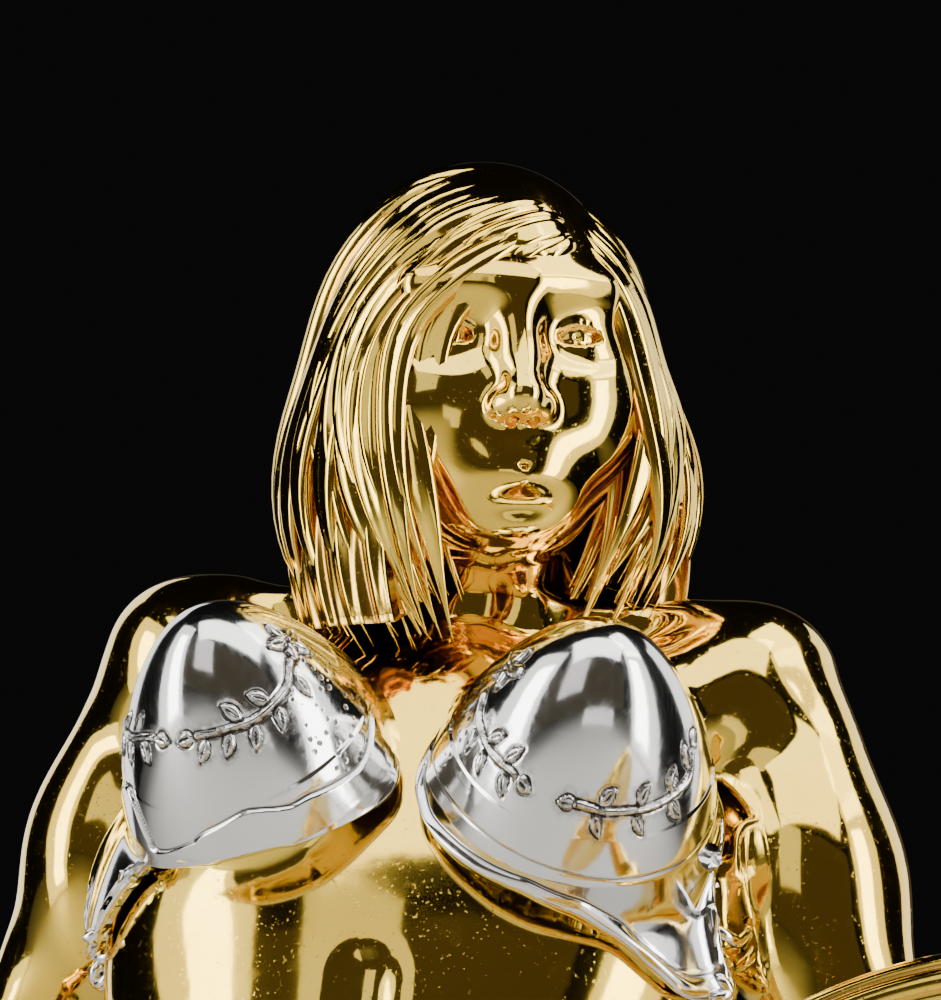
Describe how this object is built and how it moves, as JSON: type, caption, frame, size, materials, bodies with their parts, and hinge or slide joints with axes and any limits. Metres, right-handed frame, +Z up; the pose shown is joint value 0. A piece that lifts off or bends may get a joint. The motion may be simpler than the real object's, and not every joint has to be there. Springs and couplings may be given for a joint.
{
  "type": "figure trophy",
  "caption": "Standing gold female figure with tooled silver breastplates, draped skirt and round shield, on a stepped round plinth.",
  "frame": {"origin": "centre of the plinth's underside", "axes": "+Z up along the tie rod, the figure faces -Y, its left hand side is +X"},
  "size_m": [0.1435, 0.1121, 0.323],
  "materials": {
    "gold": "mirror polished gold plate",
    "silver": "polished silver plate with dark patina in the tooling",
    "stone": "polished black marble with pale veins",
    "steel": "turned steel",
    "pad": "green baize felt"
  },
  "bodies": {
    "root": {"base_pad": "pad", "plinth_body": "stone", "plinth_collar": "gold", "plinth_top": "stone", "name_plate": "gold", "plate_pins": "gold", "tie_rod": "steel", "rod_washer": "steel", "rod_nut": "steel", "core_tube": "steel", "torso": "gold", "head": "gold", "hair": "gold", "right_arm": "gold", "left_arm": "gold", "neck_dowel": "steel", "shoulder_dowels": "steel", "skirt": "silver", "girdle": "silver", "girdle_clasp": "gold", "right_breastplate": "silver", "left_breastplate": "silver", "right_cup_band": "silver", "left_cup_band": "silver", "back_strap": "silver", "right_side_knot": "silver", "left_side_knot": "silver", "side_lacing": "silver", "breastplate_pegs": "steel", "shield_plate": "gold", "shield_rim": "gold", "shield_boss": "gold", "shield_grip": "gold", "shield_rivets": "gold"}
  },
  "joints": []
}
